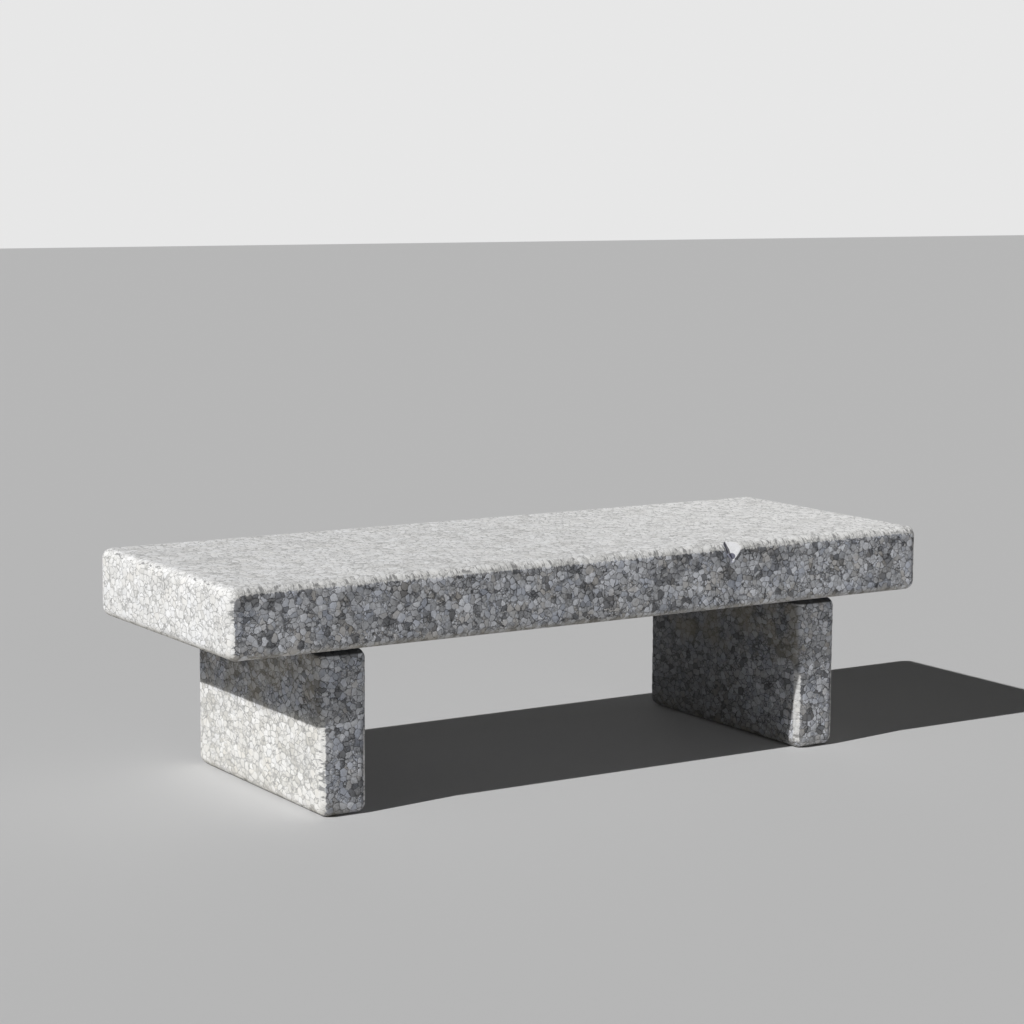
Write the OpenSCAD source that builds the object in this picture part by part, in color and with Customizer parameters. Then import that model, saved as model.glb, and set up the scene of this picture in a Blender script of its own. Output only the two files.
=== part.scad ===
// Stone garden bench: one seat slab set on two leg blocks.
// Each joint is a thin bed held open by setting buttons, with two resin-set steel dowels.
// Frame: origin on the ground under the middle of the seat, X along the seat, Y to the back, Z up.

/* [Seat slab] */
// Length of the seat slab, end to end
slab_length = 1600; // [1400:10:2000]
// Depth of the seat slab, front to back
slab_depth = 580; // [480:5:700]
// Thickness of the seat slab
slab_thickness = 135; // [115:1:180]
// Height of the seat above the ground
seat_height = 450; // [400:1:520]

/* [Legs] */
// Width of a leg block, seen from the front
leg_width = 100; // [90:1:160]
// How far the outer face of a leg stands in from the end of the slab
leg_inset = 195; // [60:5:350]
// How far the front and back of a leg stand in from those of the slab
leg_setback = 25; // [5:1:60]

/* [Edges] */
// Radius of the rounded edges and corners of the three stones
edge_radius = 20; // [8:1:24]

/* [Chip] */
// Where the chip in the front top edge lies, to the right of the middle
chip_place = 312; // [-400:1:400]
// How far the chip reaches to the left of its tip, along the edge
chip_left = 27; // [12:1:36]
// How far the chip reaches to the right of its tip, along the edge
chip_right = 37; // [12:1:50]
// How far down the front face the chip reaches
chip_height = 41; // [26:1:55]
// How far back across the seat the chip reaches
chip_reach = 27; // [24:1:55]
// How far the tip of the small flake beside the chip lies to the left of the chip's tip
flake_offset = 12; // [4:1:18]
// How far the flake reaches along the edge, to each side of its tip
flake_width = 17; // [8:1:22]
// How far down the front face the flake reaches
flake_height = 26; // [18:1:34]
// How far back from the front face the flake reaches
flake_reach = 17; // [12:1:22]
// How far the flake is turned away to the left, in degrees
flake_turn = 30; // [15:1:40]

/* [Bedding joint] */
// Thickness of the bed between a leg and the slab
bed_thickness = 3; // [2:0.5:6]
// How far the bed keeps back from where the rounded edge of the leg begins
bed_setback = 3; // [1:0.5:6]
// Radius of the corners of the bed
bed_corner = 6; // [2:1:10]
// Diameter of a setting button
button_diameter = 16; // [10:1:16]
// How far a setting button stands in from the sides of the bed
button_margin = 5; // [3:1:7]

/* [Dowels] */
// Diameter of a dowel
dowel_diameter = 16; // [10:1:20]
// How far a dowel reaches up into the slab
dowel_into_slab = 72; // [50:1:85]
// How far a dowel reaches down into the leg
dowel_into_leg = 75; // [50:1:110]
// How far the dowels stand in from the front and back of the leg
dowel_setback = 115; // [90:5:140]
// Chamfer at both ends of a dowel
dowel_chamfer = 2; // [1:0.5:3]
// Distance from one key groove of a dowel to the next
groove_pitch = 16; // [10:1:24]
// Width of a key groove
groove_width = 4; // [2:0.5:6]
// Depth of a key groove
groove_depth = 1; // [0.5:0.25:1.5]

/* [Resin] */
// Thickness of the resin round a dowel
resin_wall = 2; // [1:0.5:4]
// Depth of the resin beyond each end of a dowel
resin_end = 5; // [2:1:10]

/* [Hidden] */
$fn = 64;

// Signs of the sides: left and front are the negative sides of X and Y
left = -1;
right = 1;
front = -1;
back = 1;
// An outer button is on the side of the leg that faces the end of the bench
outer = 1;
inner = -1;

slab_bottom = seat_height - slab_thickness;
leg_top = slab_bottom - bed_thickness;
leg_depth = slab_depth - 2 * leg_setback;
leg_x = slab_length / 2 - leg_inset - leg_width / 2;

// The bed covers the flat top of the leg, less its setback
bed_width = leg_width - 2 * (edge_radius + bed_setback);
bed_depth = leg_depth - 2 * (edge_radius + bed_setback);

button_x = bed_width / 2 - button_margin - button_diameter / 2;
button_y = bed_depth / 2 - button_margin - button_diameter / 2;

dowel_y = leg_depth / 2 - dowel_setback;
dowel_bottom = leg_top - dowel_into_leg;
dowel_length = dowel_into_leg + bed_thickness + dowel_into_slab;

// Each dowel stands in one hole, drilled blind into the leg and into the slab
hole_diameter = dowel_diameter + 2 * resin_wall;
hole_bottom = dowel_bottom - resin_end;
hole_length = dowel_length + 2 * resin_end;

// Cutters run this far past the stone that they cut
past = 10;

stone_colour = "#b4b5b3";
bed_colour = "#8a8985";
steel_colour = "#c9ccd0";
resin_colour = "#d9c48f";
button_colour = "#3a3b3d";

// Quarter of a disc, in the corner between the two axes
module quarter_disc(radius) {
    intersection() {
        circle(r = radius);
        square(radius);
    }
}

// Rectangle with round corners, centred on the origin
module rounded_rectangle(width, depth, radius) {
    square([width - 2 * radius, depth], center = true);
    square([width, depth - 2 * radius], center = true);
    for (a = [-1, 1], b = [-1, 1])
        translate([a * (width / 2 - radius), b * (depth / 2 - radius)])
            circle(r = radius);
}

// Quarter-round bar that runs along X, rounded towards the back and the top
module quarter_round(length, radius) {
    rotate([90, 0, 90])
        linear_extrude(height = length, center = true)
            quarter_disc(radius);
}

// Flat-topped layer with a quarter-round bar along each side and an eighth of a ball in each corner
module rounded_cap(straight, radius) {
    translate([0, 0, radius / 2])
        cube([straight.x, straight.y, radius], center = true);
    for (turn = [0, 180])
        rotate(turn) {
            translate([0, straight.y / 2, 0])
                quarter_round(straight.x, radius);
            translate([straight.x / 2, 0, 0])
                rotate(-90)
                    quarter_round(straight.y, radius);
            for (corner = [0, 1])
                mirror([corner, 0, 0])
                    translate([straight.x / 2, straight.y / 2, 0])
                        rotate_extrude(angle = 90)
                            quarter_disc(radius);
        }
}

// Block with every edge and corner rounded to one radius, centred on the origin:
// an upright band with round corners, and a rounded cap on its top and on its bottom
module rounded_block(size, radius) {
    straight = [for (side = size) side - 2 * radius];
    linear_extrude(height = straight.z, center = true)
        rounded_rectangle(size.x, size.y, radius);
    for (flip = [0, 1])
        mirror([0, 0, flip])
            translate([0, 0, straight.z / 2])
                rounded_cap(straight, radius);
}

// V-shaped notch broken out of the slab's front top edge, with its tip below the origin.
// Its two facets meet in a line that rises from the tip on the front face to the seat.
module broken_notch(left_reach, right_reach, height, reach) {
    slope = atan2(height, reach);
    rise = height * cos(slope);
    length = norm([height, reach]) + 2 * past;
    widening = 1 + past / rise;
    translate([0, 0, -height])
        rotate([90 + slope, 0, 0])
            translate([0, 0, -length])
                linear_extrude(height = length + past)
                    polygon(widening * [[0, 0], [right_reach, rise], [-left_reach, rise]]);
}

// The chip: the main break, and a smaller flake turned away from it on the left
module chip() {
    translate([chip_place, -slab_depth / 2, seat_height]) {
        broken_notch(chip_left, chip_right, chip_height, chip_reach);
        translate([-flake_offset, 0, 0])
            rotate([0, 0, flake_turn])
                broken_notch(flake_width, flake_width, flake_height, flake_reach);
    }
}

// The drilled hole of one dowel, through leg, bed and slab
module dowel_hole(side, end) {
    translate([side * leg_x, end * dowel_y, hole_bottom])
        cylinder(h = hole_length, d = hole_diameter);
}

module seat_slab() {
    color(stone_colour)
        difference() {
            translate([0, 0, slab_bottom + slab_thickness / 2])
                rounded_block([slab_length, slab_depth, slab_thickness], edge_radius);
            chip();
            for (side = [left, right], end = [front, back])
                dowel_hole(side, end);
        }
}

module leg(side) {
    color(stone_colour)
        difference() {
            translate([side * leg_x, 0, leg_top / 2])
                rounded_block([leg_width, leg_depth, leg_top], edge_radius);
            for (end = [front, back])
                dowel_hole(side, end);
        }
}

// One setting button, level with both faces of the bed
module button_shape(side, end, edge) {
    translate([side * (leg_x + edge * button_x), end * button_y, leg_top])
        cylinder(h = bed_thickness, d = button_diameter);
}

module bed(side) {
    color(bed_colour)
        difference() {
            translate([side * leg_x, 0, leg_top])
                linear_extrude(height = bed_thickness)
                    rounded_rectangle(bed_width, bed_depth, bed_corner);
            for (end = [front, back]) {
                dowel_hole(side, end);
                for (edge = [outer, inner])
                    button_shape(side, end, edge);
            }
        }
}

module button(side, end, edge) {
    color(button_colour)
        button_shape(side, end, edge);
}

// Half outline of a dowel: chamfered bar with key grooves, the middle ones left out
// so that the full bar crosses the bed, where it carries the shear
function groove_starts(from, to) =
    [for (z = [from + groove_pitch / 2 : groove_pitch : to - groove_width - groove_pitch / 2]) z];

module dowel_shape() {
    radius = dowel_diameter / 2;
    shoulder = radius - dowel_chamfer;
    grooves = concat(
        groove_starts(0, dowel_into_leg),
        groove_starts(dowel_into_leg + bed_thickness, dowel_length)
    );
    rotate_extrude()
        difference() {
            polygon([
                [0, 0], [shoulder, 0], [radius, dowel_chamfer],
                [radius, dowel_length - dowel_chamfer], [shoulder, dowel_length], [0, dowel_length]
            ]);
            for (z = grooves)
                translate([radius - groove_depth, z])
                    square([past, groove_width]);
        }
}

module place_dowel(side, end) {
    translate([side * leg_x, end * dowel_y, dowel_bottom])
        dowel_shape();
}

module dowel(side, end) {
    color(steel_colour)
        place_dowel(side, end);
}

// The resin takes up all of the hole that the dowel leaves
module resin(side, end) {
    color(resin_colour)
        difference() {
            dowel_hole(side, end);
            place_dowel(side, end);
        }
}

seat_slab();
leg(left);  // left_leg
leg(right);  // right_leg
bed(left);  // left_bed
bed(right);  // right_bed
dowel(left, front);  // left_front_dowel
dowel(left, back);  // left_back_dowel
dowel(right, front);  // right_front_dowel
dowel(right, back);  // right_back_dowel
resin(left, front);  // left_front_resin
resin(left, back);  // left_back_resin
resin(right, front);  // right_front_resin
resin(right, back);  // right_back_resin
button(left, front, outer);  // left_front_outer_button
button(left, front, inner);  // left_front_inner_button
button(left, back, outer);  // left_back_outer_button
button(left, back, inner);  // left_back_inner_button
button(right, front, outer);  // right_front_outer_button
button(right, front, inner);  // right_front_inner_button
button(right, back, outer);  // right_back_outer_button
button(right, back, inner);  // right_back_inner_button
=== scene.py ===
# Stone garden bench: the looks of its three stones and of the pieces in its joints.
import math

import bmesh
import bpy
import numpy as np
from mathutils import Matrix, Vector


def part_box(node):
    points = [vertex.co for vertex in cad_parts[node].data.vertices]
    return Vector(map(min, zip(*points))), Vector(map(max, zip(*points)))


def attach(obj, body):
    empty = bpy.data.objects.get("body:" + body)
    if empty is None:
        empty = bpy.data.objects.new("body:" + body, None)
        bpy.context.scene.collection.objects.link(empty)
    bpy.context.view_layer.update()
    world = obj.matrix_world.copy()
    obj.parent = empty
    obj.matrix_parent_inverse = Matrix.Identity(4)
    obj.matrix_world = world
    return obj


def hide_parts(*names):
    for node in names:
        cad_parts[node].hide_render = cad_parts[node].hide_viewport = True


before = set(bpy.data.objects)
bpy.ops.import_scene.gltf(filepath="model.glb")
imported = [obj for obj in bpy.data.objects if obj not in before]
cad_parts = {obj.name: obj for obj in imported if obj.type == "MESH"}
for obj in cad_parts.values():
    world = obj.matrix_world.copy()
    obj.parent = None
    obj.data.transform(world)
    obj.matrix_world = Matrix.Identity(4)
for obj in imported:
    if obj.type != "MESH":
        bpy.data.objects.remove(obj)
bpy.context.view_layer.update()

# ---------------------------------------------------------------- sizes, in metres and radians

EDGE_RADIUS = 0.020

# The chip in the front top edge: a V-shaped break and a smaller flake on its left
CHIP_PLACE = 0.312
CHIP_LEFT = 0.027
CHIP_RIGHT = 0.037
CHIP_HEIGHT = 0.041
CHIP_REACH = 0.027
FLAKE_OFFSET = 0.012
FLAKE_WIDTH = 0.017
FLAKE_HEIGHT = 0.026
FLAKE_REACH = 0.017
FLAKE_TURN = math.radians(30)
CHIP_MARGIN = 0.012
# Below the shelf the left side of the break leans away to the left, by this much at the seat
CHIP_SHELF = 0.4285
CHIP_LEAN = 0.010
SHELF_EDGE = 0.002
# A dark round spot on the right facet, and the painted lilac highlight strip between it and the break's left
# edge
CHIP_SPOT = (0.3156, -0.2838, 0.4222)
CHIP_SPOT_RADIUS = 0.0072
CHIP_STRIP = 0.0030
# The break's own relief, and how deep it has to be for its full relief and for its full colour
BREAK_ROUGHNESS = 0.0010
BREAK_GRAIN = 0.006
ROUGH_DEPTH = 0.004
FRESH_DEPTH = 0.0015

# Stone grains: the relief in the mesh and the pattern in the material share this size
GRAIN_SIZE = 0.0118
GRAIN_BED = (1.0, 0.74, 1.0)
# The relief of a grain on a flat face and on a rounded edge, how far it reaches from the grain's
# centre in grain sizes, and how far the outward direction turns before a point counts as on an edge
GRAIN_RELIEF = 0.0003
EDGE_RELIEF = 0.0009
GRAIN_REACH = 0.8
EDGE_TURN = 0.25
# A broad unevenness, and its size in grains
UNEVENNESS = 0.0004
UNEVEN_GRAINS = 9

# Spacing of the mesh lines
SLAB_STEP = 0.0037
SLAB_TOP_STEP = 0.0066
SLAB_UNDER_STEP = 0.014
SLAB_CHIP_STEP = 0.0019
LEG_STEP = 0.0026
LEG_CAP_STEP = 0.005
CAP_INSET = 0.0025
LEAST_ARC_STEPS = 4
# Places are compared with this slack, and to the nearest micron
SLACK = 1e-6
MICRONS = 1e6

# The dowel holes, drilled blind
HOLE_RADIUS = 0.010
HOLE_SIDES = 32
HOLE_WINDOW = 0.016
FRONT_LEFT = -0.75 * math.pi

UP, DOWN = (0, 0, 1), (0, 0, -1)

# ---------------------------------------------------------------- surfaces on grids


def lines(stops, steps):
    """Places along an axis: each stretch between two stops is cut into equal parts, no longer than
    its step."""
    parts = []
    for start, end, step in zip(stops[:-1], stops[1:], steps):
        count = max(1, math.ceil(abs(end - start) / step - SLACK))
        parts.append(np.linspace(start, end, count + 1)[:-1])
    return np.append(np.concatenate(parts), stops[-1])


def triangles_of(grid):
    """Two triangles for each cell of a grid of vertex numbers."""
    a, b, c, d = grid[:-1, :-1], grid[1:, :-1], grid[1:, 1:], grid[:-1, 1:]
    cells = np.stack([a, b, c, a, c, d], -1)
    return cells.reshape(-1, 3)


def patch_from_grid(points, outward):
    """A patch: the points of a grid, their outward directions, and the triangles between them."""
    rows, columns = points.shape[:2]
    numbers = np.arange(rows * columns).reshape(rows, columns)
    return points.reshape(-1, 3), outward.reshape(-1, 3), triangles_of(numbers)


def zipped_rings(outer, outer_place, inner, inner_place, outward):
    """Patch between two closed rings of points. Each ring's steps are put in one order by the place
    of their middles round the ring, from 0 to 4, and each step makes a triangle with the other ring's
    current point."""
    outer_count, inner_count = len(outer), len(inner)
    outer_middle = (outer_place + np.append(outer_place[1:], outer_place[0] + 4)) / 2
    inner_middle = (inner_place + np.append(inner_place[1:], inner_place[0] + 4)) / 2
    order = np.argsort(np.concatenate([outer_middle, inner_middle]), kind="stable")
    from_outer = order < outer_count
    outer_now = (np.cumsum(from_outer) - from_outer) % outer_count
    inner_now = (np.cumsum(~from_outer) - ~from_outer) % inner_count + outer_count
    next_outer = (outer_now + 1) % outer_count
    next_inner = (inner_now - outer_count + 1) % inner_count + outer_count
    third = np.where(from_outer, next_outer, next_inner)
    triangles = np.stack([outer_now, third, inner_now], -1)
    points = np.concatenate([outer, inner])
    return points, np.broadcast_to(outward, points.shape), triangles


def rectangle_ring(x_lines, y_lines, level):
    """The points round a level grid's border, counter-clockwise from above from the front left corner,
    and each one's place from 0 to 4: the side's number plus the share of the side passed."""
    share_x = (x_lines - x_lines[0]) / (x_lines[-1] - x_lines[0])
    share_y = (y_lines - y_lines[0]) / (y_lines[-1] - y_lines[0])
    x = np.concatenate([x_lines[:-1], np.full(len(y_lines) - 1, x_lines[-1]),
                        x_lines[:0:-1], np.full(len(y_lines) - 1, x_lines[0])])
    y = np.concatenate([np.full(len(x_lines) - 1, y_lines[0]), y_lines[:-1],
                        np.full(len(x_lines) - 1, y_lines[-1]), y_lines[:0:-1]])
    place = np.concatenate([share_x[:-1], 1 + share_y[:-1],
                            2 + (1 - share_x[:0:-1]), 3 + (1 - share_y[:0:-1])])
    return np.column_stack([x, y, np.full(len(x), level)]), place


def rounded_band(x_lines, y_lines, z_lines, radius, arc_step):
    """The block's upright faces with the fillets above and below them, as one closed grid.
    A point is the straight core's border, plus the radius times an outward direction: the level part of
    that direction turns round the core's corners, and its tilt runs from straight up, through level, to
    straight down."""
    arc_count = max(LEAST_ARC_STEPS, math.ceil(radius * math.pi / 2 / arc_step))
    turn = np.linspace(0, math.pi / 2, arc_count + 1)
    core, heading = [], []
    sides = [
        (x_lines, np.full(len(x_lines), y_lines[0])),
        (np.full(len(y_lines), x_lines[-1]), y_lines),
        (x_lines[::-1], np.full(len(x_lines), y_lines[-1])),
        (np.full(len(y_lines), x_lines[0]), y_lines[::-1]),
    ]
    for number, (x, y) in enumerate(sides):
        facing = (number - 1) * math.pi / 2
        core.append(np.stack([x, y], -1))
        heading.append(np.full(len(x), facing))
        core.append(np.repeat([[x[-1], y[-1]]], arc_count - 1, 0))
        heading.append(facing + turn[1:-1])
    core, heading = np.concatenate(core), np.concatenate(heading)
    core, heading = np.append(core, core[:1], 0), np.append(heading, heading[:1])

    tilt = np.concatenate([turn[::-1], np.zeros(len(z_lines) - 2), -turn])
    level = np.concatenate([np.full(arc_count, z_lines[0]), z_lines, np.full(arc_count, z_lines[-1])])
    flat = np.stack([np.cos(heading), np.sin(heading)], -1)
    outward = np.empty((len(heading), len(tilt), 3))
    outward[..., :2] = flat[:, None] * np.cos(tilt)[:, None]
    outward[..., 2] = np.sin(tilt)
    points = radius * outward
    points[..., :2] += core[:, None]
    points[..., 2] += level
    return patch_from_grid(points, outward)


def drilled_hole(centre, window_x, window_y, level, floor, up):
    """Patches of one blind hole: from the window left open in a flat face to the rim,
    down the round wall, and across the flat end."""
    turn = FRONT_LEFT + np.linspace(0, 2 * math.pi, HOLE_SIDES + 1)[:-1]
    circle = np.stack([np.cos(turn), np.sin(turn)], -1)
    rim = np.column_stack([centre + HOLE_RADIUS * circle, np.full(HOLE_SIDES, level)])
    window, place = rectangle_ring(window_x, window_y, level)
    rim_place = np.linspace(0, 4, HOLE_SIDES + 1)[:-1]
    around = zipped_rings(window, place, rim, rim_place, up)
    closed = np.append(circle, circle[:1], 0)
    wall = np.empty((HOLE_SIDES + 1, 2, 3))
    wall[..., :2] = centre + HOLE_RADIUS * closed[:, None]
    wall[..., 2] = (level, floor)
    end = np.empty((HOLE_SIDES + 1, 2, 3))
    end[:, 0, :2] = centre + HOLE_RADIUS * closed
    end[:, 1, :2] = centre
    end[..., 2] = floor
    nothing = np.zeros((HOLE_SIDES + 1, 2, 3))
    return [around, patch_from_grid(wall, nothing), patch_from_grid(end, nothing)]


def flat_face(border, level, up, x_lines, y_lines, holes=(), floor=None):
    """Patches of a level face: a grid, a zipped ring that joins it to the finer border of the band,
    and the dowel holes, down to their floor, in windows left open in the grid."""
    x, y = np.meshgrid(x_lines, y_lines, indexing="ij")
    points = np.stack([x, y, np.full(x.shape, level)], -1)
    numbers = np.arange(x.size).reshape(x.shape)
    middle_x = (x_lines[:-1, None] + x_lines[1:, None]) / 2 + 0 * y_lines[:-1]
    middle_y = (y_lines[:-1] + y_lines[1:]) / 2 + 0 * x_lines[:-1, None]
    kept = np.ones(middle_x.shape, bool)
    patches = []
    for centre in holes:
        kept &= (abs(middle_x - centre[0]) > HOLE_WINDOW) | (abs(middle_y - centre[1]) > HOLE_WINDOW)
        window_x = x_lines[abs(x_lines - centre[0]) < HOLE_WINDOW + SLACK]
        window_y = y_lines[abs(y_lines - centre[1]) < HOLE_WINDOW + SLACK]
        patches += drilled_hole(centre, window_x, window_y, level, floor, up)
    triangles = triangles_of(numbers).reshape(-1, 2, 3)[kept.reshape(-1)].reshape(-1, 3)
    outward = np.broadcast_to(up, (x.size, 3))
    patches.append((points.reshape(-1, 3), outward, triangles))
    outer, outer_place = rectangle_ring(*border, level)
    inner, inner_place = rectangle_ring(x_lines, y_lines, level)
    patches.append(zipped_rings(outer, outer_place, inner, inner_place, up))
    return patches


def one_shell(patches):
    """All patches as one set of points: points in the same place become one, and triangles that
    shrink to a line are dropped."""
    offsets = np.cumsum([0] + [len(p[0]) for p in patches[:-1]])
    points = np.concatenate([p[0] for p in patches])
    outward = np.concatenate([p[1] for p in patches])
    triangles = np.concatenate([p[2] + o for p, o in zip(patches, offsets)])
    keys = np.round(points * MICRONS).astype(np.int64)
    _, first, same = np.unique(keys, axis=0, return_index=True, return_inverse=True)
    triangles = same.reshape(-1)[triangles]
    a, b, c = triangles.T
    whole = (a != b) & (b != c) & (a != c)
    return points[first], outward[first], triangles[whole]


# ---------------------------------------------------------------- relief of the stone

# Jenkins' hash: its starting number, the largest number in 32 bits, and its rounds. A round names the
# words of its state that it works on, and by how many bits it turns one.
HASH_START = 0xDEADBEEF
LARGEST_WORD = 0xFFFFFFFF
MIX_ROUNDS = ((0, 2, 1, 4), (1, 0, 2, 6), (2, 1, 0, 8), (0, 2, 1, 16), (1, 0, 2, 19), (2, 1, 0, 4))
LAST_ROUNDS = ((2, 1, 14), (0, 2, 11), (1, 0, 25), (2, 1, 16), (0, 2, 4), (1, 0, 14), (2, 1, 24))


def turned(value, bits):
    """A 32-bit word with its bits turned round to the left."""
    return (value << np.uint32(bits)) | (value >> np.uint32(32 - bits))


def cell_number(words):
    """One random number from 0 to 1 for each set of three or four words, by Jenkins' hash: the same
    one that the Voronoi texture uses, so that the relief falls on the grains of the material."""
    start = (HASH_START + (len(words) << 2) + 13) & LARGEST_WORD
    state = [np.uint32(start) + word for word in words[:3]]
    if len(words) == 4:
        for a, b, c, bits in MIX_ROUNDS:
            state[a] = (state[a] - state[b]) ^ turned(state[b], bits)
            state[b] = state[b] + state[c]
        state[0] = state[0] + words[3]
    for a, b, bits in LAST_ROUNDS:
        state[a] = (state[a] ^ state[b]) - turned(state[b], bits)
    return state[2] / float(LARGEST_WORD)


def cell_centres(cell):
    """The random point in each unit cell."""
    x, y, z = (np.ascontiguousarray(cell[:, k], np.float32).view(np.uint32) for k in range(3))
    one, two = (np.full(len(cell), n, np.float32).view(np.uint32) for n in (1, 2))
    return np.stack([cell_number([x, y, z]), cell_number([x, y, z, one]), cell_number([x, y, z, two])], -1)


def grain_distance(points, size):
    """Distance from each point to the nearest grain's centre, in grain sizes. There is one centre at a
    random place in each cell of a cubic lattice, and the 27 cells round the point are searched. The
    lattice is stretched along the stone's bed."""
    place = points * np.array(GRAIN_BED) / size
    cell = np.floor(place)
    nearest = np.full(len(points), np.inf)
    for shift in np.ndindex(3, 3, 3):
        other = cell + np.array(shift) - 1
        distance = np.linalg.norm(other + cell_centres(other) - place, axis=1)
        nearest = np.minimum(nearest, distance)
    return nearest


def share(value, whole):
    """A value as a share of a whole, from 0 to 1."""
    return np.clip(value / whole, 0, 1)


def roughened(points, outward, sawn):
    """Each point drops below the smooth face: by the square of its distance from its grain's centre,
    more on the rounded edges, and by a broad unevenness. The sawn faces, given by the directions that
    they look in, stay flat."""
    edge = 1 - np.abs(outward).max(1)
    on_skin = np.linalg.norm(outward, axis=1) > 0.5
    depth = GRAIN_RELIEF + (EDGE_RELIEF - GRAIN_RELIEF) * share(edge, EDGE_TURN)
    drop = depth * share(grain_distance(points, GRAIN_SIZE), GRAIN_REACH) ** 2
    drop += UNEVENNESS * share(grain_distance(points, UNEVEN_GRAINS * GRAIN_SIZE), 1)
    fade = share((outward @ np.array(sawn, float).T).max(1), 1) ** 2
    drop = np.where(on_skin, drop * (1 - fade), 0)
    return points - outward * drop[:, None]


# ---------------------------------------------------------------- the chip


def break_facets(tip, left_reach, right_reach, height, reach, turn, lean=0):
    """The two planes of a V-shaped break, as a point and two directions that look out of the stone.
    They meet in the line from the tip on the front face to the seat, and each passes through one end
    of the break on the front top edge. The line can lean to the left."""
    spin = Matrix.Rotation(turn, 3, "Z")
    valley = spin @ Vector((-lean, reach, height))
    to_left = spin @ Vector((-left_reach, 0, height))
    to_right = spin @ Vector((right_reach, 0, height))
    left = valley.cross(to_left).normalized()
    right = to_right.cross(valley).normalized()
    return np.array(tip), np.array(left), np.array(right)


def chipped(points, front, top):
    """Points in the break are pushed back and down until they lie on its nearer facet. Below the shelf
    the left facet gives way to one that leans to the left. Returns the points, how far each was pushed,
    whether it lies on a left facet, and how far it is from the leaning facet."""
    into = np.array((0, 1, -1)) / math.sqrt(2)
    main = ((CHIP_PLACE, front, top - CHIP_HEIGHT), CHIP_LEFT, CHIP_RIGHT, CHIP_HEIGHT, CHIP_REACH, 0)
    flake = ((CHIP_PLACE - FLAKE_OFFSET, front, top - FLAKE_HEIGHT),
             FLAKE_WIDTH, FLAKE_WIDTH, FLAKE_HEIGHT, FLAKE_REACH, FLAKE_TURN)
    push = np.zeros(len(points))
    on_left = np.zeros(len(points), bool)
    for (tip, left, right), lean in ((break_facets(*main), CHIP_LEAN), (break_facets(*flake), 0)):
        from_tip = points - tip
        to_left = from_tip @ left / -(left @ into)
        to_right = from_tip @ right / -(right @ into)
        if lean:
            leaning = break_facets(*main, lean)[1]
            to_leaning = from_tip @ leaning / -(leaning @ into)
            below = share(CHIP_SHELF - points[:, 2] + to_left / math.sqrt(2), SHELF_EDGE)
            to_left = to_left + (to_leaning - to_left) * below
        nearer = np.minimum(to_left, to_right)
        on_left = np.where(nearer > push, to_left < to_right, on_left)
        push = np.maximum(push, nearer)
    near = np.abs(points[:, 0] - CHIP_PLACE) < CHIP_LEFT + CHIP_RIGHT
    push = np.where(near & (points[:, 2] > top - CHIP_HEIGHT - EDGE_RADIUS), push, 0)
    rough = BREAK_ROUGHNESS * share(push, ROUGH_DEPTH) * (grain_distance(points, BREAK_GRAIN) - 0.5)
    points = points + into * (push + rough)[:, None]
    tip, leaning, _ = break_facets(*main, CHIP_LEAN)
    return points, push, on_left, (points - tip) @ leaning


# ---------------------------------------------------------------- meshes


def stone_object(name, points, outward, triangles, values):
    """A smooth-shaded mesh object. Its points carry the smooth block's outward direction, and the
    named values given for them."""
    mesh = bpy.data.meshes.new(name)
    mesh.vertices.add(len(points))
    mesh.vertices.foreach_set("co", points.astype(np.float32).ravel())
    mesh.loops.add(triangles.size)
    mesh.loops.foreach_set("vertex_index", triangles.astype(np.int32).ravel())
    mesh.polygons.add(len(triangles))
    mesh.polygons.foreach_set("loop_start", np.arange(0, triangles.size, 3, dtype=np.int32))
    mesh.polygons.foreach_set("use_smooth", np.ones(len(triangles), bool))
    mesh.update(calc_edges=True)
    facing = mesh.attributes.new("outward", "FLOAT_VECTOR", "POINT")
    facing.data.foreach_set("vector", outward.astype(np.float32).ravel())
    for label, value in values.items():
        attribute = mesh.attributes.new(label, "FLOAT", "POINT")
        attribute.data.foreach_set("value", value.astype(np.float32))
    whole = bmesh.new()
    whole.from_mesh(mesh)
    bmesh.ops.recalc_face_normals(whole, faces=whole.faces)
    whole.to_mesh(mesh)
    whole.free()
    piece = bpy.data.objects.new(name, mesh)
    bpy.context.scene.collection.objects.link(piece)
    return piece


def straight_core(node):
    """Lowest and highest corners of the straight core inside a CAD block's rounded edges."""
    low, high = (np.array(corner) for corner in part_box(node))
    centre, half = (low + high) / 2, (high - low) / 2 - EDGE_RADIUS
    return centre - half, centre + half


def dowel_ends(side):
    """Places of the two dowels in a leg, and the lowest and highest points of their holes."""
    places, bottom, top = [], 0, 0
    for end in ("front", "back"):
        low, high = (np.array(corner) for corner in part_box(f"{side}_{end}_resin"))
        places.append((low[:2] + high[:2]) / 2)
        bottom, top = low[2], high[2]
    return places, bottom, top


def windowed_lines(low, high, holes, axis, step):
    """Places along an axis of a drilled face, no further apart than a step, with one on each side of
    each hole's window."""
    inside = sorted({round(hole[axis] + side * HOLE_WINDOW, 6) for hole in holes for side in (-1, 1)})
    stops = [low[axis] + CAP_INSET, *inside, high[axis] - CAP_INSET]
    return lines(stops, [step] * (len(stops) - 1))


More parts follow.
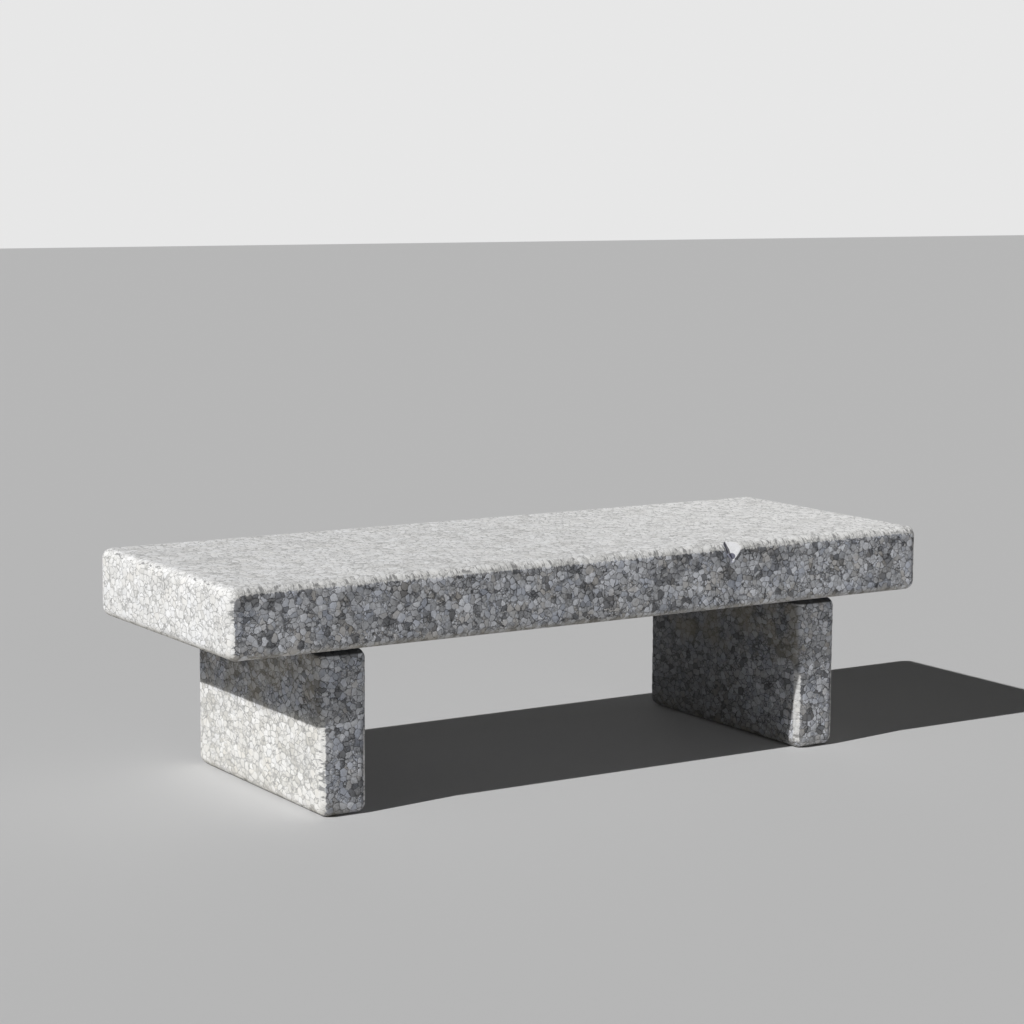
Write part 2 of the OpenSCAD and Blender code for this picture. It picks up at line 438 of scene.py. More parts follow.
def make_slab():
    """The seat slab: fine lines on its upright faces and near the chip, coarser ones above and below."""
    low, high = straight_core("seat_slab")
    top, bottom = high[2] + EDGE_RADIUS, low[2] - EDGE_RADIUS
    chip_low = CHIP_PLACE - CHIP_LEFT - CHIP_MARGIN
    chip_high = CHIP_PLACE + CHIP_RIGHT + CHIP_MARGIN
    x_lines = lines([low[0], chip_low, chip_high, high[0]], [SLAB_STEP, SLAB_CHIP_STEP, SLAB_STEP])
    y_lines = lines([low[1], high[1]], [SLAB_STEP])
    z_lines = lines([high[2], high[2] - CHIP_HEIGHT + CHIP_MARGIN / 2, low[2]], [SLAB_CHIP_STEP, SLAB_STEP])
    patches = [rounded_band(x_lines, y_lines, z_lines, EDGE_RADIUS, SLAB_STEP)]
    top_x = lines([low[0] + CAP_INSET, chip_low, chip_high, high[0] - CAP_INSET],
                  [SLAB_TOP_STEP, SLAB_CHIP_STEP, SLAB_TOP_STEP])
    top_y = lines([low[1] + CAP_INSET, low[1] + CHIP_REACH, high[1] - CAP_INSET],
                  [SLAB_CHIP_STEP, SLAB_TOP_STEP])
    patches += flat_face((x_lines, y_lines), top, UP, top_x, top_y)
    left_holes, _, hole_top = dowel_ends("left")
    holes = left_holes + dowel_ends("right")[0]
    under_x, under_y = (windowed_lines(low, high, holes, axis, SLAB_UNDER_STEP) for axis in (0, 1))
    patches += flat_face((x_lines, y_lines), bottom, DOWN, under_x, under_y, holes, hole_top)
    points, outward, triangles = one_shell(patches)
    points = roughened(points, outward, [DOWN])
    points, push, on_left, from_left = chipped(points, low[1] - EDGE_RADIUS, top)
    values = {"fresh_break": share(push, FRESH_DEPTH), "left_facet": on_left, "from_left": from_left}
    return stone_object("seat_slab_stone", points, outward, triangles, values)


def make_leg(side):
    """A leg block, with the dowel holes in its flat top."""
    low, high = straight_core(f"{side}_leg")
    top, bottom = high[2] + EDGE_RADIUS, low[2] - EDGE_RADIUS
    x_lines = lines([low[0], high[0]], [LEG_STEP])
    y_lines = lines([low[1], high[1]], [LEG_STEP])
    z_lines = lines([high[2], low[2]], [LEG_STEP])
    patches = [rounded_band(x_lines, y_lines, z_lines, EDGE_RADIUS, LEG_STEP)]
    holes, hole_floor, _ = dowel_ends(side)
    cap_x, cap_y = (windowed_lines(low, high, holes, axis, LEG_CAP_STEP) for axis in (0, 1))
    patches += flat_face((x_lines, y_lines), top, UP, cap_x, cap_y, holes, hole_floor)
    patches += flat_face((x_lines, y_lines), bottom, DOWN, cap_x, cap_y)
    points, outward, triangles = one_shell(patches)
    points = roughened(points, outward, [UP, DOWN])
    return stone_object(f"{side}_leg_stone", points, outward, triangles, {})


slab = make_slab()
left_leg = make_leg("left")
right_leg = make_leg("right")
for piece, node in ((slab, "seat_slab"), (left_leg, "left_leg"), (right_leg, "right_leg")):
    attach(piece, "root")
    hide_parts(node)


# ---------------------------------------------------------------- node tools


class Wiring:
    """Adds nodes to one node tree. An input's value is a constant, or the output socket to link to it."""

    def __init__(self, tree):
        self.tree = tree

    def put(self, socket, value):
        if isinstance(value, bpy.types.NodeSocket):
            self.tree.links.new(value, socket)
        elif value is not None:
            socket.default_value = value

    def add(self, kind, inputs=None, **settings):
        node = self.tree.nodes.new(kind)
        for name, value in settings.items():
            setattr(node, name, value)
        for name, value in (inputs or {}).items():
            self.put(node.inputs[name], value)
        return node

    def math(self, operation, *values, clamp=False):
        node = self.add("ShaderNodeMath", operation=operation, use_clamp=clamp)
        for socket, value in zip(node.inputs, values):
            self.put(socket, value)
        return node.outputs[0]

    def chain(self, operation, first, others):
        for other in others:
            first = self.math(operation, first, other)
        return first

    def times(self, first, *others):
        return self.chain("MULTIPLY", first, others)

    def plus(self, first, *others):
        return self.chain("ADD", first, others)

    def most(self, first, *others):
        return self.chain("MAXIMUM", first, others)

    def minus(self, first, second):
        return self.math("SUBTRACT", first, second)

    def opposite(self, mask):
        """1 less a mask."""
        return self.minus(1.0, mask)

    def about_zero(self, noise, amount):
        """A noise less a half, times an amount."""
        return self.times(self.minus(noise, 0.5), amount)

    def length(self, first, second):
        """The square root of the sum of two squares."""
        squares = [self.math("POWER", value, 2.0) for value in (first, second)]
        return self.math("SQRT", self.plus(*squares))

    def step(self, value, low, high, out_low=0.0, out_high=1.0):
        """A smooth step from out_low to out_high as value goes from low to high."""
        ranges = {"Value": value, "From Min": low, "From Max": high, "To Min": out_low, "To Max": out_high}
        return self.add("ShaderNodeMapRange", ranges, interpolation_type="SMOOTHSTEP").outputs["Result"]

    def above(self, value, limit, blur):
        """1 above a limit and 0 below it, with a smooth step that reaches blur to each side."""
        return self.step(value, limit - blur, limit + blur)

    def below(self, value, limit, blur):
        return self.above(value, limit, -blur)

    def noise(self, vector, scale, detail=3.0, roughness=0.55, output="Fac"):
        inputs = {"Vector": vector, "Scale": scale, "Detail": detail, "Roughness": roughness}
        return self.add("ShaderNodeTexNoise", inputs).outputs[output]

    def patches(self, vector, noise, step):
        """A smooth step over a noise, from the settings of both."""
        return self.step(self.noise(vector, *noise), *step)

    def cells(self, vector, scale, feature="F1"):
        return self.add("ShaderNodeTexVoronoi", {"Vector": vector, "Scale": scale}, feature=feature).outputs

    def parts(self, colour):
        return self.add("ShaderNodeSeparateColor", {"Color": colour}).outputs

    def axes(self, vector):
        return self.add("ShaderNodeSeparateXYZ", {"Vector": vector}).outputs

    def attribute(self, name, output="Fac"):
        """What the mesh carries under this name."""
        return self.add("ShaderNodeAttribute", attribute_name=name).outputs[output]

    def stretched(self, vector, scale):
        return self.add("ShaderNodeMapping", {"Vector": vector, "Scale": scale}).outputs["Vector"]

    def shift(self, vector, colour, amount):
        """A place moved by a noise colour, whose middle grey moves nothing."""
        centred = self.add("ShaderNodeVectorMath", {0: colour, 1: (0.5, 0.5, 0.5)}, operation="SUBTRACT")
        scaled = self.add("ShaderNodeVectorMath", {0: centred.outputs[0], 3: amount}, operation="SCALE")
        return self.add("ShaderNodeVectorMath", {0: vector, 1: scaled.outputs[0]}, operation="ADD").outputs[0]

    def mix(self, factor, first, second):
        """One colour over another."""
        node = self.add("ShaderNodeMix", data_type="RGBA")
        for socket, value in zip((node.inputs[0], node.inputs[6], node.inputs[7]), (factor, first, second)):
            self.put(socket, value)
        return node.outputs[2]

    def cover(self, colour, tone, *masks):
        """A colour covered by another one, as far as the product of the masks."""
        return self.mix(self.times(*masks), colour, tone)

    def blend(self, factor, first, second):
        """One value over another."""
        node = self.add("ShaderNodeMix", data_type="FLOAT")
        for socket, value in zip((node.inputs[0], node.inputs[2], node.inputs[3]), (factor, first, second)):
            self.put(socket, value)
        return node.outputs[0]

    def ramp(self, value, stops):
        """A colour for a value from 0 to 1. Each stop is a place and a colour."""
        node = self.add("ShaderNodeValToRGB", {"Fac": value})
        elements = node.color_ramp.elements
        for place, _ in stops[1:-1]:
            elements.new(place)
        for element, (place, colour) in zip(elements, stops):
            element.position = place
            element.color = colour
        return node.outputs["Color"]

    def relief(self, shader, height, distance, strength):
        """Bump on a shader, from a height of 0 to 1 that stands for a distance in metres."""
        bump = self.add("ShaderNodeBump", {"Height": height, "Distance": distance, "Strength": strength})
        self.put(shader.inputs["Normal"], bump.outputs["Normal"])


def node_group(name, inputs, outputs):
    """An empty shader node group with named sockets. Returns the group, its wiring and its two end nodes."""
    group = bpy.data.node_groups.new(name, "ShaderNodeTree")
    for label, kind, value in inputs:
        socket = group.interface.new_socket(label, in_out="INPUT", socket_type=kind)
        if value is not None:
            socket.default_value = value
    for label in outputs:
        group.interface.new_socket(label, in_out="OUTPUT", socket_type="NodeSocketFloat")
    wiring = Wiring(group)
    return group, wiring, wiring.add("NodeGroupInput").outputs, wiring.add("NodeGroupOutput").inputs


def use(wiring, group, **inputs):
    """A group placed in a material, with its own values. Underscores in a name stand for spaces."""
    node = wiring.add("ShaderNodeGroup", node_tree=group)
    for name, value in inputs.items():
        wiring.put(node.inputs[name.replace("_", " ")], value)
    return node.outputs


def grey(value, warmth=0.0):
    """A grey of this linear value. Warmth above 0 takes that share of blue out and puts a third of it
    in as red, and below 0 it does the opposite."""
    return (value * (1 + warmth / 3), value, value * (1 - warmth), 1)


def material(name):
    """A new node material: its wiring, its Principled BSDF, and its Object coordinates."""
    new = bpy.data.materials.new(name)
    new.use_nodes = True
    wiring = Wiring(new.node_tree)
    shader = new.node_tree.nodes["Principled BSDF"]
    place = wiring.add("ShaderNodeTexCoord").outputs["Object"]
    return new, wiring, shader, place


# ---------------------------------------------------------------- shared effects

# From here on, a smooth step is written as the values between which it runs, and then what it gives at
# each of them if that isn't 0 and 1. A noise is written as how often it repeats, its detail and its
# roughness, the last of them or the last two left out where they are the usual ones. A cover is the
# most that a layer hides of what is under it.

# Packed grains: how often each pattern repeats in the length of a middle-sized grain
SMALL_GRAINS = 2.1
LARGE_GRAINS = 0.50
BENDS = (2.4, 1.0)
PATCHES = (0.30, 3.0, 0.6)
CHARCOAL = (0.50, 1.0)
UNEVEN_JOINTS = (1.0, 2.0)
FADED_JOINTS = (0.90, 2.0)
# How far the bends move a grain's outline, in grain sizes
BEND_REACH = 0.42
# A patch's dark cloud, and the part of its darkness that keeps to whole grains
PATCH_CLOUD = (0.56, 0.70, 0.0, 0.40)
PATCH_GRAINS = (0.56, 0.66, 0.0, 0.60)
CHARCOAL_GRAINS = (0.63, 0.66)
# The joints' width: uneven, wider in a patch, and wider round small grains
JOINT_WIDTHS = (0.3, 0.7, 0.5, 1.5)
PATCH_JOINT = 1.9
SMALL_JOINT = 1.5
SMALL_JOINT_COVER = 0.85
POCKETS = (0.68, 0.86, 0.0, 0.6)
JOINT_FADE = (0.36, 0.56, 0.55, 1.0)
# Large grains: the least and most that one reaches from its centre, its rim, and its height
LARGE_REACH = (0.28, 0.44)
LARGE_RIM = 0.6
LARGE_HEIGHT = 0.9

# Fine speckle: softer noise and sharper specks, and how much each counts
SOFT_SPECKS = 0.6
SOFT_DETAIL = (4.0, 0.65)
SOFT_SHARE = 0.7
SPECK_SHARE = 0.3

# Edge wear: the largest part of the outward direction along an axis, from a flat face to an edge
EDGE_BEGINS = (0.99, 0.80)
# Strokes: how often they repeat in a stroke's width, and how they are drawn out on level edges, and on
# the upright edges and ends, which face along the bench
STROKES_IN_WIDTH = 0.6
LEVEL_STROKES = (1, 0.25, 0.25)
UPRIGHT_STROKES = (0.25, 0.25, 1)
STROKE_DETAIL = (2.0, 0.6)
ON_END = (0.2, 0.5)

# Ground grime: how it thins with height, and the splashes that it comes in
GRIME_FADE = 1.5
SPLASHES = (18.0, 4.0)
SPLASH_PATCHES = (0.3, 0.7)


def packed_grains_group():
    """Grains packed against each other, in three sizes: some of the middle-sized cells are filled with
    small ones, and scattered large grains lie over both. In the dark patches the joints are wide.
    Puts out a random tone and a random tint for each grain, the joints between grains, the dark
    patches, and a height that is a dome on each grain: 1 less the square of the distance from its centre."""
    group, w, given, out = node_group(
        "packed_grains",
        [("Place", "NodeSocketVector", None), ("Grain Size", "NodeSocketFloat", GRAIN_SIZE),
         ("Joint", "NodeSocketFloat", 0.06), ("Small Share", "NodeSocketFloat", 0.3),
         ("Large Share", "NodeSocketFloat", 0.3), ("Patch Bias", "NodeSocketFloat", 0.0)],
        ["Tone", "Tint", "Joints", "Patch", "Height"],
    )
    place = w.stretched(given["Place"], GRAIN_BED)
    middling = w.math("DIVIDE", 1.0, given["Grain Size"])

    def scaled_noise(vector, repeats, *detail, output="Fac"):
        return w.noise(vector, w.times(middling, repeats), *detail, output=output)

    bends = scaled_noise(place, *BENDS, output="Color")
    bent = w.shift(place, bends, w.times(given["Grain Size"], BEND_REACH))
    grain = w.cells(bent, middling)
    random = w.parts(grain["Color"])
    border = w.cells(bent, middling, "DISTANCE_TO_EDGE")["Distance"]
    fine = w.times(middling, SMALL_GRAINS)
    small_random = w.parts(w.cells(bent, fine)["Color"])
    small_border = w.cells(bent, fine, "DISTANCE_TO_EDGE")["Distance"]
    large = w.cells(bent, w.times(middling, LARGE_GRAINS))
    large_random = w.parts(large["Color"])

    cloud = w.plus(scaled_noise(place, *PATCHES), given["Patch Bias"])
    grain_cloud = w.plus(scaled_noise(grain["Position"], *PATCHES), given["Patch Bias"])
    patch = w.plus(w.step(cloud, *PATCH_CLOUD), w.step(grain_cloud, *PATCH_GRAINS))
    charcoal = w.step(scaled_noise(grain["Position"], *CHARCOAL), *CHARCOAL_GRAINS)

    width = w.times(given["Joint"], w.step(scaled_noise(place, *UNEVEN_JOINTS), *JOINT_WIDTHS))
    width = w.times(width, w.blend(patch, 1.0, PATCH_JOINT))
    joints = w.most(w.step(border, 0.0, width, 1.0, 0.0), w.step(grain["Distance"], *POCKETS))
    crumbled = w.math("LESS_THAN", random["Green"], given["Small Share"])
    small_joints = w.step(small_border, 0.0, w.times(width, SMALL_JOINT), SMALL_JOINT_COVER, 0.0)
    joints = w.most(joints, w.times(crumbled, small_joints))
    joints = w.times(joints, w.step(scaled_noise(place, *FADED_JOINTS), *JOINT_FADE))

    chosen = w.math("LESS_THAN", large_random["Green"], given["Large Share"])
    reach = w.blend(large_random["Blue"], *LARGE_REACH)
    inside = w.times(chosen, w.math("LESS_THAN", large["Distance"], reach))
    rim = w.step(w.minus(reach, large["Distance"]), 0.0, w.times(width, LARGE_RIM), 1.0, 0.0)

    tone = w.blend(crumbled, random["Red"], small_random["Red"])
    tint = w.blend(crumbled, random["Blue"], small_random["Blue"])
    dome = w.opposite(w.math("POWER", grain["Distance"], 2.0))
    w.put(out["Tone"], w.blend(inside, tone, large_random["Red"]))
    w.put(out["Tint"], w.blend(inside, tint, large_random["Blue"]))
    w.put(out["Joints"], w.blend(inside, joints, rim))
    w.put(out["Patch"], w.most(patch, charcoal))
    w.put(out["Height"], w.blend(inside, dome, LARGE_HEIGHT))
    return group


def fine_speckle_group():
    """The crystals inside a grain: a shade that is a soft noise plus a random value for each speck."""
    group, w, given, out = node_group(
        "fine_speckle",
        [("Place", "NodeSocketVector", None), ("Speck Size", "NodeSocketFloat", 0.0016)],
        ["Shade"],
    )
    fine = w.math("DIVIDE", 1.0, given["Speck Size"])
    soft = w.noise(given["Place"], w.times(fine, SOFT_SPECKS), *SOFT_DETAIL)
    speck = w.parts(w.cells(given["Place"], fine)["Color"])["Red"]
    w.put(out["Shade"], w.plus(w.times(soft, SOFT_SHARE), w.times(speck, SPECK_SHARE)))
    return group


def edge_wear_group():
    """Where a rounded edge lies, from the smooth block's outward direction: 0 on a flat face, 1 in the
    middle of an edge. Strokes run across the edges, as a ragged value about 0.5."""
    group, w, given, out = node_group(
        "edge_wear",
        [("Place", "NodeSocketVector", None), ("Stroke Width", "NodeSocketFloat", 0.004)],
        ["Edge", "Strokes"],
    )
    outward = w.attribute("outward", "Vector")
    along = w.axes(w.add("ShaderNodeVectorMath", {0: outward}, operation="ABSOLUTE").outputs[0])
    w.put(out["Edge"], w.step(w.most(along["X"], along["Y"], along["Z"]), *EDGE_BEGINS))
    fine = w.math("DIVIDE", STROKES_IN_WIDTH, given["Stroke Width"])
    on_level, on_upright = (w.noise(w.stretched(given["Place"], scale), fine, *STROKE_DETAIL)
                            for scale in (LEVEL_STROKES, UPRIGHT_STROKES))
    w.put(out["Strokes"], w.blend(w.step(along["X"], *ON_END), on_level, on_upright))
    return group


def ground_grime_group():
    """Grime splashed up from the ground: 1 less the height as a share of its reach, to a power, times
    splashes."""
    group, w, given, out = node_group(
        "ground_grime",
        [("Place", "NodeSocketVector", None), ("Reach", "NodeSocketFloat", 0.05)],
        ["Grime"],
    )
    splashes = w.patches(given["Place"], SPLASHES, SPLASH_PATCHES)
    low = w.opposite(w.math("DIVIDE", w.axes(given["Place"])["Z"], given["Reach"], clamp=True))
    w.put(out["Grime"], w.times(w.math("POWER", low, GRIME_FADE), splashes))
    return group


PACKED_GRAINS = packed_grains_group()
FINE_SPECKLE = fine_speckle_group()
EDGE_WEAR = edge_wear_group()
GROUND_GRIME = ground_grime_group()

# ---------------------------------------------------------------- granite

# Grains, and more of the dark patches towards the slab's top
GRAIN_MIX = {"Grain_Size": GRAIN_SIZE, "Joint": 0.090, "Small_Share": 0.26, "Large_Share": 0.26}
UPPER_PATCHES = (0.375, 0.425, -0.02, 0.045)
STONE_SPECK = 0.0016
GRAIN_TONES = [
    (0.00, grey(0.24, -0.04)),
    (0.15, grey(0.38, -0.04)),
    (0.50, grey(0.55, -0.05)),
    (0.85, grey(0.69, -0.06)),
    (1.00, grey(0.82, -0.06)),
]
# A grain's tone: its random tone times one number plus another, and then what the rest adds to it
OWN_TONE = (0.74, 0.13)
SPECK_TONE = 0.35
MOTTLE = (2.4 / GRAIN_SIZE, 4.0, 0.65)
MOTTLE_TONE = (0.32, 0.68, -0.20, 0.20)
CLOUDS = (9.0, 4.0, 0.6)
CLOUD_TONE = (0.35, 0.65, -0.11, 0.11)
DRIFTS = (26.0, 3.0, 0.55)
DRIFT_TONE = (0.36, 0.64, -0.17, 0.17)
PALER_END = (0.1, 0.8, 0.02, 0.135)
# A grain's tint: its random tint times this share, plus a noise. High is beige, and low is blue-grey.
OWN_TINT = 0.5
TINT_CLOUDS = (17.0, 2.0)
BEIGE = (0.47, 0.42, 0.35, 1)
BEIGE_GRAINS = (0.82, 1.10, 0.0, 0.45)
BLUE_GREY = (0.41, 0.45, 0.55, 1)
BLUE_GRAINS = (0.70, 0.42, 0.0, 0.50)
PATCH_TONE = grey(0.09, -0.08)
PATCH_COVER = 0.72

# Painted light, partly weather: what counts as facing outwards, how ragged its border is, and where it begins
OUTWARD_FACES = (0.22, 1.00)
STROKE_WIDTH = 0.0034
RAGGEDNESS = 1.1
LIT_WEATHER_BEGINS = (0.26, 0.38)
# Painted light on the slab's front and back faces, round each top corner about a point this far from the end
# and the top
CORNER_FROM_END = 0.0284
CORNER_FROM_TOP = 0.0330
CORNER_RADIUS = 0.019
CORNER_RAGGEDNESS = 0.008
CORNER_BLUR = 0.001
# The slab's painted shadow on the legs, where they are also sheltered from weather, ends at about this
# height, and the border drifts up and down
SEAT_SHADOW_LINE = (0.158, 0.192)
SEAT_SHADOW_DRIFT = 0.05
# Painted light, partly bleaching, of the slab's ends, the legs' outer sides and the seat, where it grows to
# the right
LIT_BLEACHED = grey(0.935, 0.038)
END_LIGHT_AND_BLEACH = 0.62
LIT_BLEACHED_LEG = grey(0.86, 0.08)
LEG_LIGHT_AND_BLEACH = 0.56
LIT_BLEACHED_SEAT = grey(0.96, 0.008)
SEAT_LIGHT_AND_BLEACH = (-0.2, 0.7, 0.80, 1.0)
SEAT_FACES = (0.3, 0.9)
SMEARS = (30.0, 4.0, 0.65)
SMEAR_COVER = (0.43, 0.66, 0.0, 0.31)
SMEAR_TONE = grey(0.50, 0.06)
SPOTS = (130.0, 1.0)
SPOT_COVER = (0.70, 0.76, 0.0, 0.55)

# Joints between grains
JOINT_TONE = grey(0.042, -0.05)
# Joints are paler under the painted light
LIT_WEATHERED_JOINT_TONE = grey(0.29, 0.02)
SIDE_JOINT_COVER = 0.92
SEAT_JOINT_COVER = 0.74

# Edges: a painted highlight strip low on the legs' upright edges, painted shade beside pale edges, and nicks
SIDEWAYS_RAGGEDNESS = 0.35
UPRIGHT_EDGES = (0.35, 0.15)
# The painted highlight strip on the legs' upright edges
LIT_STRIP_BEGINS = (0.46, 0.54)
LIT_STRIP_EDGE = (0.0, 0.25)
LIT_STRIP_TOP = 0.160
LIT_STRIP_BLUR = 0.006
LIT_STRIP_COVER = 0.62
# Painted shade beside the pale upright edges
EDGE_SHADE_BEGINS = (0.08, 0.30)
EDGE_SHADE_ENDS = (0.90, 0.75)
EDGE_SHADE_TONE = grey(0.08, -0.05)
EDGE_SHADE_COVER = 0.45
# Pale edges under the painted light: partly wear, partly painted highlight
WORN_AND_LIT_EDGE = grey(0.82, 0.03)
WORN_AND_LIT_COVER = 0.26
LIP_NICKS = (0.90, 0.50, 0.0, 0.055)
NICKS = (0.42, 0.37)
NICK_TONE = grey(0.22)
NICK_COVER = 0.82

# Stains and painted shade. Where a cover has two values, the first is the slab's and the second the legs'.
FACES_DOWN = (-0.2, -0.8)
# Painted shade under the stones, warm as if from light bounced off the floor
UNDERSIDE_BOUNCE_SHADE = (0.42, 0.385, 0.31, 1)
UNDERSIDE_BOUNCE_COVER = (0.38, 0.15)
# Painted shade of the slab on the legs' upper part
SEAT_SHADOW_COVER = 0.10
# On the legs' inner sides a painted shade grows with the height times a slope, plus the place towards the
# back
INNER_FACES = (-0.5, -0.95)
INNER_SLOPE = 0.6
INNER_SHADE_COVER = (-0.27, 0.15, 0.15, 0.58)
INNER_SHADE = grey(0.05, 0.02)
# Brown patches on the legs' sides in the slab's painted shadow, partly damp and partly painted shade, and
# splashes reach this high above the ground
DAMP_AND_SHADE_NOISE = (14.0, 3.0)
DAMP_AND_SHADE_PATCHES = (0.42, 0.62)
DAMP_AND_SHADE_FACES = (0.6, 0.95)
DAMP_AND_SHADE_COVER = 0.4
SPLASH_REACH = 0.05
SPLASH_COVER = 0.35
# Brown of the ground splashes, and of the patches that are partly painted shade
GRIME_AND_SHADE_TONE = (0.30, 0.265, 0.19, 1)
# Painted black shade in the open joint, on the legs' up-facing top edges under the slab
LEG_TOP = (0.45, 0.62)
JOINT_GAP_SHADE = grey(0.018)
GAP_SHADE_COVER = 0.93

# The fresh break in the chip
FRESH_TONE = (0.69, 0.69, 0.70, 1)
# Painted shade on the break's left facets
LEFT_FACET_SHADE = (0.08, 0.08, 0.12, 1)
DARK_SPOT = (0.13, 0.13, 0.17, 1)
DARK_SPOT_RIM = 0.001
# A painted lilac highlight strip along the break's left edge, below the shelf
LILAC_HIGHLIGHT = (0.86, 0.87, 1.00, 1)
STRIP_BLUR = 0.0004
SHELF_BLUR = 0.001
FRESH_SPECKS = (0.40, 0.30, 0.0, 0.25)
FRESH_BEGINS = (0.2, 0.6)

# Surface: roughness and gloss, what each part adds to the relief, and how much of it the painted light and
# weather leave.
# Each finish's relief is its height in metres and its strength.
STONE_ROUGHNESS = 0.62
SPECK_ROUGHNESS = 0.25
JOINT_ROUGHNESS = 0.9
STONE_SPECULAR = 0.28
DOME_HEIGHT = 0.35
JOINT_DEPTH = 0.8
SPECK_HEIGHT = 0.25
MOTTLE_HEIGHT = 0.5
WORN_SIDE_HEIGHT = 0.27
WORN_SEAT_HEIGHT = 0.53
STONE_RELIEF = (0.0008, 0.6)


class StoneFace:
    """What the layers of the granite share: where a point is, which stone it is on, which way the smooth
    block faces there, the shared effects, and the painted light and weather."""

    def __init__(self, w, place):
        slab_low, slab_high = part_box("seat_slab")
        self.place = place
        self.at = w.axes(place)
        self.on_slab = w.math("GREATER_THAN", self.at["Z"], slab_low[2])
        self.on_leg = w.opposite(self.on_slab)
        self.facing = w.axes(w.attribute("outward", "Vector"))
        self.outer = w.times(self.facing["X"], w.math("SIGN", self.at["X"]))
        self.seat = w.step(w.times(self.facing["Z"], self.on_slab), *SEAT_FACES)
        bias = w.times(self.on_slab, w.step(self.at["Z"], *UPPER_PATCHES))
        self.grains = use(w, PACKED_GRAINS, Place=place, Patch_Bias=bias, **GRAIN_MIX)
        self.shade = use(w, FINE_SPECKLE, Place=place, Speck_Size=STONE_SPECK)["Shade"]
        wear = use(w, EDGE_WEAR, Place=place, Stroke_Width=STROKE_WIDTH)
        self.edge, self.strokes = wear["Edge"], wear["Strokes"]
        self.ragged = w.about_zero(self.strokes, RAGGEDNESS)
        self.mottle = w.noise(place, *MOTTLE)
        self.clouds = w.noise(place, *CLOUDS)
        self.find_lit_and_weathered(w, slab_high)

    def find_lit_and_weathered(self, w, slab_high):
        """Facing up or out is the length of two parts: how far the block faces up, and how far outwards.
        Painted light, partly weather, begins where that plus the ragged strokes passes a limit, and on the
        slab's painted light corners. The upper part of a leg lies in the slab's painted shadow, where it is
        also sheltered from weather, and gets none of it."""
        faces_up = w.most(self.facing["Z"], 0.0)
        self.faces_up_or_out = w.length(faces_up, w.step(self.outer, *OUTWARD_FACES))
        # Painted light, partly weather, on the faces that look up or outwards
        lit_and_weathered = w.step(w.plus(self.faces_up_or_out, self.ragged), *LIT_WEATHER_BEGINS)
        drift = w.about_zero(self.clouds, SEAT_SHADOW_DRIFT)
        # The slab's painted shadow on the legs
        self.shaded_and_sheltered = w.times(w.step(w.plus(self.at["Z"], drift), *SEAT_SHADOW_LINE), self.on_leg)
        self.lit_and_exposed = w.opposite(self.shaded_and_sheltered)
        self.lit_and_weathered = w.times(w.most(lit_and_weathered, self.lit_corners(w, slab_high)), self.lit_and_exposed)

    def lit_corners(self, w, slab_high):
        """Painted light on the part of the slab's front and back faces outside a circle in each top corner.
        The circle's border is moved by the ragged strokes."""
        from_end = w.minus(slab_high[0], w.math("ABSOLUTE", self.at["X"]))
        from_top = w.minus(slab_high[2], self.at["Z"])
        over_end = w.most(w.minus(CORNER_FROM_END, from_end), 0.0)
        over_top = w.most(w.minus(CORNER_FROM_TOP, from_top), 0.0)
        over = w.plus(w.length(over_end, over_top), w.times(self.ragged, CORNER_RAGGEDNESS))
        return w.times(w.above(over, CORNER_RADIUS, CORNER_BLUR), self.on_slab)


def grain_colours(w, face):
    """Grey by tone: each grain's own tone, plus specks, mottling, clouds and drifts, and paler to the
    right. The tint turns some grains beige and some blue-grey. The patches are dark."""
    tone = w.math("MULTIPLY_ADD", face.grains["Tone"], *OWN_TONE)
    tone = w.plus(tone, w.about_zero(face.shade, SPECK_TONE), w.step(face.mottle, *MOTTLE_TONE))
    tone = w.plus(tone, w.step(face.clouds, *CLOUD_TONE), w.patches(face.place, DRIFTS, DRIFT_TONE))
    tone = w.math("ADD", tone, w.step(face.at["X"], *PALER_END), clamp=True)
    tint = w.plus(w.times(face.grains["Tint"], OWN_TINT), w.noise(face.place, *TINT_CLOUDS))
    colour = w.ramp(tone, GRAIN_TONES)
    colour = w.cover(colour, BEIGE, w.step(tint, *BEIGE_GRAINS))
    colour = w.cover(colour, BLUE_GREY, w.step(tint, *BLUE_GRAINS))
    return w.cover(colour, PATCH_TONE, face.grains["Patch"], PATCH_COVER)


def lit_and_bleached(w, face, colour):
    """The top, the ends and the legs' outer sides turn pale, each kind by its own share: painted light,
    partly bleaching. Soft smears and a few dark spots lie on the seat."""
    # Painted light, partly bleaching: the top, the ends and the legs' outer sides turn pale
    seat_light_and_bleach = w.step(face.at["X"], *SEAT_LIGHT_AND_BLEACH)
    amount = w.blend(face.on_leg, w.blend(face.seat, END_LIGHT_AND_BLEACH, seat_light_and_bleach), LEG_LIGHT_AND_BLEACH)
    tone = w.mix(face.seat, w.mix(face.on_leg, LIT_BLEACHED, LIT_BLEACHED_LEG), LIT_BLEACHED_SEAT)
    colour = w.cover(colour, tone, face.lit_and_weathered, amount)
    colour = w.cover(colour, SMEAR_TONE, face.seat, w.patches(face.place, SMEARS, SMEAR_COVER))
    return w.cover(colour, NICK_TONE, face.seat, w.patches(face.place, SPOTS, SPOT_COVER))


def jointed(w, face, colour):
    """The joints between grains are dark, and paler under the painted light and weather."""
    tone = w.mix(face.lit_and_weathered, JOINT_TONE, LIT_WEATHERED_JOINT_TONE)
    amount = w.blend(face.seat, SIDE_JOINT_COVER, SEAT_JOINT_COVER)
    return w.cover(colour, tone, face.grains["Joints"], amount)


